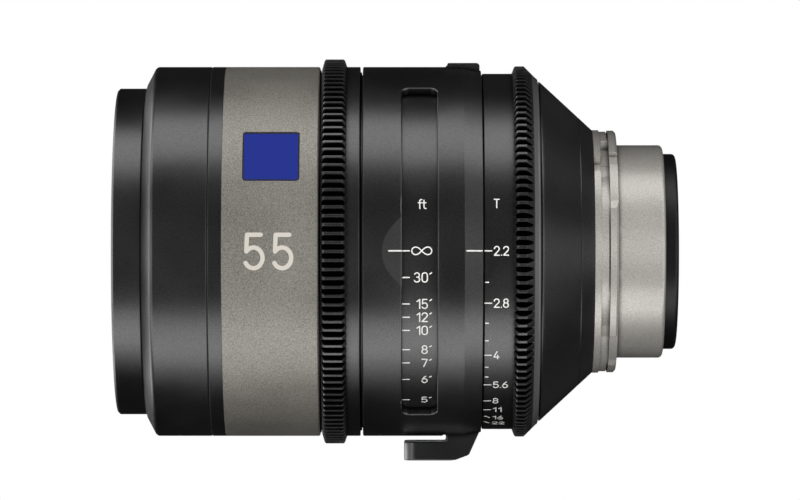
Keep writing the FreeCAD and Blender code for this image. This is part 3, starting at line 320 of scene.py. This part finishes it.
white_paint = paint_of("white_paint", (0.84, 0.83, 0.80))
cream_paint = paint_of("cream_paint", (0.602, 0.562, 0.502))
# Dark paint for the painted shade and shadow round the badge.
shade_paint = paint_of("shade_paint", (0.006, 0.006, 0.008), roughness=0.5, specular=0.3)

for subpart in frame["record"]["subparts"]:
    target = nodes[subpart["node"]]
    target.data.materials.clear()
    finish = node_finishes.get(subpart["node"], materials[subpart["material_slot"]])
    target.data.materials.append(finish)


# Surfaces to paint on. Each maps millimetres along X, across it and above the surface to a point
# in metres.

def on_cylinder(radius):
    def place(along, round_it, height):
        angle = round_it / radius
        reach = (radius + height) * MM
        return Vector((along * MM, -reach * math.cos(angle), reach * math.sin(angle)))
    return place


def on_band(along, round_it, height):
    """The housing's sloping index band."""
    share = (along - BAND_FRONT) / (BAND_REAR - BAND_FRONT)
    radius = BARREL_RADIUS + share * (BAND_REAR_RADIUS - BARREL_RADIUS)
    return on_cylinder(radius)(along, round_it, height)


def on_facet(along, across, height):
    """The sloping flat in front of the window."""
    depth = (along - FACET_FRONT) * FACET_DEPTH / (FACET_REAR - FACET_FRONT)
    return Vector((along * MM, -(BARREL_RADIUS - depth + height) * MM, across * MM))


def on_badge(along, across, height):
    """The flat face of the badge plate, whose middle looks BADGE_ANGLE above -Y."""
    angle = math.radians(BADGE_ANGLE)
    reach = BADGE_REACH + height
    return Vector((along * MM, (-reach * math.cos(angle) + across * math.sin(angle)) * MM,
                   (reach * math.sin(angle) + across * math.cos(angle)) * MM))


# Centre lines of strokes

def line(start, end):
    """Points of a straight stroke, close enough together to follow a round surface."""
    length = math.dist(start, end)
    count = max(2, math.ceil(length / SECTION_STEP) + 1)
    shares = [index / (count - 1) for index in range(count)]
    return [(start[0] + share * (end[0] - start[0]), start[1] + share * (end[1] - start[1]))
            for share in shares]


def sweep(middle, radii, start, end, count=24):
    """Points of an elliptical arc, in degrees anticlockwise from the right."""
    points = []
    for index in range(count + 1):
        angle = math.radians(start + (end - start) * index / count)
        points.append((middle[0] + radii[0] * math.cos(angle), middle[1] + radii[1] * math.sin(angle)))
    return points


def bend(start, control, end, count=12):
    """Points of a curve that leaves and arrives along its two arms."""
    points = []
    for index in range(count + 1):
        share = index / count
        rest = 1 - share
        points.append(tuple(rest * rest * a + 2 * rest * share * b + share * share * c
                            for a, b, c in zip(start, control, end)))
    return points


def ring(middle, radii):
    return sweep(middle, radii, 0, 360, 32)


# Strokes of each character, for a height of 1
DIGIT_WIDTH = 0.56           # of the centre lines
HALF = DIGIT_WIDTH / 2
GLYPHS = {
    "0": [sweep((HALF, 1 - HALF), (HALF, HALF), 0, 180) + sweep((HALF, HALF), (HALF, HALF), 180, 360)
          + [(DIGIT_WIDTH, 1 - HALF)]],
    "1": [[(0.08, 0.78), (0.36, 1.0)], [(0.36, 1.0), (0.36, 0.0)]],
    "2": [sweep((HALF, 0.73), (HALF, 0.27), 172, -38) + [(0.0, 0.0)],
          [(0.0, 0.0), (DIGIT_WIDTH, 0.0)]],
    "3": [sweep((HALF - 0.02, 0.755), (HALF - 0.02, 0.245), 155, -90),
          sweep((HALF - 0.02, 0.265), (HALF + 0.02, 0.265), 90, -158)],
    "4": [[(0.36, 1.0), (0.0, 0.24)], [(0.0, 0.24), (0.6, 0.24)], [(0.44, 0.5), (0.44, 0.0)]],
    "5": [[(0.5, 1.0), (0.06, 1.0)], [(0.06, 1.0), (0.04, 0.52)],
          sweep((HALF - 0.01, 0.31), (HALF + 0.01, 0.31), 142, -150)],
    "6": [ring((HALF, 0.3), (HALF, 0.3)),
          bend((0.74 * DIGIT_WIDTH, 1.0), (0.1 * DIGIT_WIDTH, 0.66), (0.0, 0.3))],
    "7": [[(0.0, 1.0), (DIGIT_WIDTH, 1.0)], [(DIGIT_WIDTH, 1.0), (0.2, 0.0)]],
    "8": [ring((HALF, 0.765), (HALF - 0.04, 0.235)), ring((HALF, 0.265), (HALF, 0.265))],
    ".": [[(0.0, 0.0), (0.012, 0.0)]],
    "'": [[(0.2, 1.0), (0.02, 0.87)]],
    "T": [[(0.0, 1.0), (0.56, 1.0)], [(0.28, 1.0), (0.28, 0.0)]],
    "f": [sweep((0.33, 0.8), (0.17, 0.2), 80, 180) + [(0.16, 0.0)], [(0.0, 0.64), (0.34, 0.64)]],
    "t": [[(0.14, 0.92), (0.14, 0.2)], sweep((0.31, 0.17), (0.17, 0.17), 180, 285),
          [(0.0, 0.64), (0.34, 0.64)]],
}
WIDTHS = {"1": 0.36, ".": 0.012, "'": 0.18, "T": 0.56, "f": 0.22, "t": 0.38, "4": 0.6}
LETTER_GAP = 0.25            # between the centre lines of two characters


def infinity(height):
    """The two loops of the sign for infinity, as one closed stroke."""
    half_length = 1.15 * height
    swing = 1.23 * height    # the loops reach 0.354 of it up and down
    points = []
    for index in range(65):
        angle = 2 * math.pi * index / 64
        fall = 1 + math.sin(angle) ** 2
        points.append((half_length * math.cos(angle) / fall,
                       swing * math.sin(angle) * math.cos(angle) / fall))
    return points


def text_strokes(text, height, stroke, left=None, right=None, middle=0.0,
                 slim=1.0, spacing=LETTER_GAP):
    """Centre lines of a line of text of that outer height, set from its left or right end."""
    size = height - stroke
    gap = spacing * size
    widths = [WIDTHS.get(letter, DIGIT_WIDTH) * size * slim for letter in text]
    total = sum(widths) + gap * (len(text) - 1)
    along = left + stroke / 2 if right is None else right - stroke / 2 - total
    strokes = []
    for letter, width in zip(text, widths):
        for path in GLYPHS[letter]:
            strokes.append([(along + x * size * slim, middle + (y - 0.5) * size) for x, y in path])
        along += width + gap
    return strokes


# Meshes of painted strokes

def resampled(path):
    points = [path[0]]
    for start, end in zip(path, path[1:]):
        points += line(start, end)[1:]
    return points


def rounded_end(section, half, way):
    """Sections that round off a stroke beyond one of its ends, outwards. The way is 1 or -1."""
    point, ahead, _ = section
    ends = []
    for angle in END_ANGLES:
        out = way * half * math.sin(angle)
        ends.append(((point[0] + ahead[0] * out, point[1] + ahead[1] * out), ahead, math.cos(angle)))
    return ends


def sections_of(points, closed, half):
    """Sections of a stroke: the middle, the direction ahead and the share of the half width."""
    count = len(points)
    sections = []
    for index, point in enumerate(points):
        before = points[index - 1] if closed or index else point
        after = points[(index + 1) % count] if closed or index < count - 1 else point
        length = math.dist(before, after)
        ahead = ((after[0] - before[0]) / length, (after[1] - before[1]) / length)
        sections.append((point, ahead, 1.0))
    if closed:
        return sections
    start = rounded_end(sections[0], half, -1)
    return start[::-1] + sections + rounded_end(sections[-1], half, 1)


def paint(name, body, material, strokes, width, place):
    """One mesh of painted strokes. Each stroke is a closed flat ribbon with bevelled sides."""
    half = width / 2
    bevel = PAINT_SIDE * PAINT_HEIGHT
    profile = ((-1.0, -PAINT_SINK), (-1.0, bevel), (-PAINT_FLAT, PAINT_HEIGHT),
               (PAINT_FLAT, PAINT_HEIGHT), (1.0, bevel), (1.0, -PAINT_SINK))
    sides = len(profile)
    vertices = []
    faces = []
    for stroke in strokes:
        points = resampled(stroke)
        closed = math.dist(points[0], points[-1]) < 1e-6
        if closed:
            points = points[:-1]
        sections = sections_of(points, closed, half)
        base = len(vertices)
        for point, ahead, share in sections:
            for side, height in profile:
                reach = side * half * share
                vertices.append(place(point[0] - ahead[1] * reach, point[1] + ahead[0] * reach, height))
        count = len(sections)
        for index in range(count if closed else count - 1):
            here = base + index * sides
            following = base + (index + 1) % count * sides
            for side in range(sides):
                beside = (side + 1) % sides
                faces.append((here + side, here + beside, following + beside, following + side))
        if not closed:
            faces.append(tuple(base + side for side in reversed(range(sides))))
            faces.append(tuple(base + (count - 1) * sides + side for side in range(sides)))
    mesh = bpy.data.meshes.new(name)
    mesh.from_pydata(vertices, [], faces)
    mesh.validate()
    mesh.materials.append(material)
    piece = bpy.data.objects.new(name, mesh)
    bpy.context.scene.collection.objects.link(piece)
    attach(piece, body)
    return piece


# Distance scale

def scale_angle(feet):
    """Degrees below the index at which a distance stands, with the lens at infinity."""
    return SCALE_SPREAD / (feet - SCALE_START)


def index_line(ends):
    return [line((ends[0], INDEX_RISE), (ends[1], INDEX_RISE))]


# Distances in feet, and their figures where they have one
distances = (
    (30, "30'"), (15, "15'"), (12, "12'"), (10, "10'"), (8, "8'"), (7, "7'"), (6, "6'"), (5, "5'"),
    (4.5, "4.5'"), (4, "4'"), (3.5, "3.5'"), (3, "3'"), (2.75, ""), (2.5, "2.5'"), (2.25, ""),
    (2, "2'"), (1.8, "1.8'"), (1.6, "1.6'"),
)
tick_strokes = index_line((TICK_FRONT, TICK_REAR))
figure_strokes = [[(x + INFINITY_MIDDLE, y + INDEX_RISE) for x, y in infinity(INFINITY_HEIGHT)]]
for feet, label in distances:
    place = -DRUM_RADIUS * math.radians(scale_angle(feet))
    tick_strokes.append(line((TICK_FRONT, place), (TICK_REAR, place)))
    if label:
        figure_strokes += text_strokes(label, DISTANCE_HEIGHT, FIGURE_STROKE,
                                       right=DISTANCE_END, middle=place)
figure_strokes += text_strokes("ft", DISTANCE_HEIGHT, FIGURE_STROKE, left=UNIT_START, middle=UNIT_RISE)
drum = on_cylinder(DRUM_RADIUS)
paint("distance_ticks", "focus", white_paint, tick_strokes, FIGURE_STROKE, drum)
paint("distance_figures", "focus", white_paint, figure_strokes, FIGURE_STROKE, drum)
paint("distance_index", "lens_body", white_paint, index_line(FACET_INDEX), INDEX_STROKE, on_facet)


# T scale

# Degrees below the index, the figure, and how many degrees lower the figure stands
stops = ((-0.2, "2.2", 0.0), (16.4, "2.8", 0.0), (34.7, "4", 0.0), (47.3, "5.6", 0.0),
         (55.7, "8", 0.0), (61.4, "11", 0.0), (66.4, "16", 1.2), (71.7, "22", 1.5))
between = (9.7, 23.1, 29.3, 39.5, 43.7)      # degrees of the small ticks
iris_ticks = []
iris_figures = text_strokes("T", STOP_HEIGHT, FIGURE_STROKE, left=STOP_START,
                            middle=SCALE_RING_RADIUS * math.radians(T_ANGLE))
for degrees, label, shift in stops:
    place = -SCALE_RING_RADIUS * math.radians(degrees)
    label_place = -SCALE_RING_RADIUS * math.radians(degrees + shift)
    if shift:
        tick_start, tick_bend, tick_end = BENT_TICK
        iris_ticks.append(line((tick_start, place), (tick_bend, place)))
        iris_ticks.append(line((tick_bend, place), (tick_end, label_place)))
    else:
        iris_ticks.append(line((STOP_TICK[0], place), (STOP_TICK[1], place)))
    iris_figures += text_strokes(label, STOP_HEIGHT, FIGURE_STROKE, left=STOP_START, middle=label_place)
for degrees in between:
    place = -SCALE_RING_RADIUS * math.radians(degrees)
    iris_ticks.append(line((SMALL_TICK[0], place), (SMALL_TICK[1], place)))
scale_ring = on_cylinder(SCALE_RING_RADIUS)
paint("iris_ticks", "iris", white_paint, iris_ticks, FIGURE_STROKE, scale_ring)
paint("iris_figures", "iris", white_paint, iris_figures, FIGURE_STROKE, scale_ring)
paint("iris_index", "lens_body", white_paint, index_line(BAND_INDEX), INDEX_STROKE, on_band)


# Focal length, and painted shade round the badge

focal_strokes = text_strokes("55", FOCAL_HEIGHT, FOCAL_STROKE, left=FOCAL_START, slim=FOCAL_SLIM,
                             spacing=FOCAL_SPACING)
paint("focal_figures", "lens_body", cream_paint, focal_strokes, FOCAL_STROKE, on_cylinder(BARREL_RADIUS))

# A dark line painted round the badge, and a second under its upper edge, stand in for the shade and
# shadow of its recess.
inset = BADGE_SHADE_WIDTH / 2
front, rear, half = BADGE_FRONT + inset, BADGE_REAR - inset, BADGE_HALF - inset
turn = BADGE_CORNER - inset
painted_outline = []
for middle, start in (((rear - turn, half - turn), 0), ((front + turn, half - turn), 90),
                      ((front + turn, turn - half), 180), ((rear - turn, turn - half), 270)):
    painted_outline += sweep(middle, (turn, turn), start, start + 90, 6)
shadow = half - SHADOW_DROP * BADGE_SHADE_WIDTH
shadow_line = line((front, shadow), (rear, shadow))
paint("badge_painted_shade", "lens_body", shade_paint, [painted_outline + [painted_outline[0]], shadow_line], BADGE_SHADE_WIDTH, on_badge)


# Light, floor and camera

def studio_world():
    """White for the camera and straight behind the lens. Mirroring surfaces see soft zones all
    round, and matt ones get a weak even light."""
    world = bpy.data.worlds.new("studio")
    tree = empty_tree(world)
    way = add_node(tree, "ShaderNodeTexCoord").outputs["Generated"]
    x, y, z = add_node(tree, "ShaderNodeSeparateXYZ", {"Vector": way}).outputs
    path = add_node(tree, "ShaderNodeLightPath").outputs
    aside = calculate(tree, "ABSOLUTE", x)
    streaks = combine(tree, "MULTIPLY",
                      fade(tree, aside, STREAK_RISE, (0.0, STREAK_GLOW)),
                      fade(tree, aside, STREAK_FALL, (1.0, 0.0)),
                      fade(tree, calculate(tree, "ABSOLUTE", z), STREAK_LEVEL, (1.0, 0.0)))
    sides = combine(tree, "ADD", fade(tree, aside, SIDE_REACH, (0.0, SIDE_GLOW)), streaks)
    sides = combine(tree, "MULTIPLY", sides, fade(tree, y, SIDE_FALL, (1.0, SIDE_REST)))
    corner = combine(tree, "MULTIPLY", fade(tree, x, CORNER_X, (CORNER_GLOW, 0.0)),
                     fade(tree, y, CORNER_Y))
    zones = combine(tree, "ADD", fade(tree, y, ROOM_REACH, ROOM), corner, sides)
    mirrored = combine(tree, "MAXIMUM", fade(tree, y, BACKDROP_REACH), zones)
    seen = combine(tree, "MAXIMUM", path["Is Glossy Ray"], path["Is Transmission Ray"])
    unseen = calculate(tree, "SUBTRACT", 1.0, seen)
    indirect = combine(tree, "ADD", calculate(tree, "MULTIPLY", seen, mirrored),
                       calculate(tree, "MULTIPLY", unseen, AMBIENT))
    strength = combine(tree, "MAXIMUM", path["Is Camera Ray"], indirect)
    light = add_node(tree, "ShaderNodeBackground", {"Color": (1.0, 1.0, 1.0, 1.0), "Strength": strength})
    add_node(tree, "ShaderNodeOutputWorld", {"Surface": light.outputs["Background"]})
    bpy.context.scene.world = world


def soft_box(name, up, aside, distance, length, width, radiance, matt=False):
    """A soft box that faces the lens. It lights either matt surfaces or the ones that mirror it.
    It stands some degrees up from -Y, or aside from it towards +X, and its length lies level."""
    up, aside = math.radians(up), math.radians(aside)
    towards = Vector((math.sin(aside), -math.cos(aside) * math.cos(up), math.cos(aside) * math.sin(up)))
    lamp = bpy.data.lights.new(name, "AREA")
    lamp.shape = "RECTANGLE"
    lamp.size = length
    lamp.size_y = width
    lamp.energy = radiance * math.pi * length * width
    holder = bpy.data.objects.new(name, lamp)
    holder.location = BOX_AIM + distance * towards
    holder.rotation_euler = towards.to_track_quat("Z", "Y").to_euler()
    holder.visible_camera = False
    holder.visible_diffuse = matt
    holder.visible_glossy = not matt
    holder.visible_transmission = False
    bpy.context.scene.collection.objects.link(holder)


def floor():
    """A pale floor, far enough below to stay out of the main view."""
    mesh = bpy.data.meshes.new("floor")
    angles = [math.radians(degrees) for degrees in range(0, 360, FLOOR_STEP)]
    corners = [(FLOOR_MIDDLE[0] + FLOOR_RADIUS * math.cos(angle),
                FLOOR_MIDDLE[1] + FLOOR_RADIUS * math.sin(angle), FLOOR_MIDDLE[2]) for angle in angles]
    mesh.from_pydata(corners, [], [tuple(range(len(corners)))])
    material = bpy.data.materials.new("floor")
    tree = empty_tree(material)
    path = add_node(tree, "ShaderNodeLightPath").outputs
    seen = combine(tree, "MAXIMUM", path["Is Glossy Ray"], path["Is Transmission Ray"],
                   path["Is Camera Ray"])
    shader = add_node(tree, "ShaderNodeBsdfPrincipled", {
        "Base Color": (0.8, 0.8, 0.8, 1.0),
        "Roughness": 0.9,
        "Emission Color": (1.0, 1.0, 1.0, 1.0),
        "Emission Strength": calculate(tree, "MULTIPLY", seen, FLOOR_GLOW),
    })
    add_node(tree, "ShaderNodeOutputMaterial", {"Surface": shader.outputs["BSDF"]})
    mesh.materials.append(material)
    piece = bpy.data.objects.new("floor", mesh)
    bpy.context.scene.collection.objects.link(piece)


def camera():
    data = bpy.data.cameras.new("camera")
    data.lens = CAMERA_LENS
    data.sensor_width = CAMERA_SENSOR
    data.clip_start, data.clip_end = CAMERA_CLIP
    holder = bpy.data.objects.new("camera", data)
    holder.location = CAMERA_PLACE
    holder.rotation_euler = (math.pi / 2, 0.0, 0.0)
    bpy.context.scene.collection.objects.link(holder)
    bpy.context.scene.camera = holder


studio_world()
soft_box("key", up=3.0, aside=0.0, distance=2.2, length=1.2, width=1.2, radiance=KEY, matt=True)
soft_box("back_key", up=172.0, aside=0.0, distance=2.2, length=1.2, width=1.2, radiance=0.5 * KEY,
         matt=True)
soft_box("upper_strip", up=73.4, aside=0.0, distance=0.8, length=2.6, width=0.48, radiance=2.3)
soft_box("lower_strip", up=-55.4, aside=0.0, distance=0.8, length=2.6, width=0.43, radiance=2.2)
soft_box("right_box", up=0.0, aside=70.0, distance=1.2, length=0.6, width=0.42, radiance=0.9)
soft_box("left_box", up=0.0, aside=-95.0, distance=1.2, length=1.0, width=0.6, radiance=2.0)
floor()
camera()
bpy.context.scene.view_settings.view_transform = "Standard"
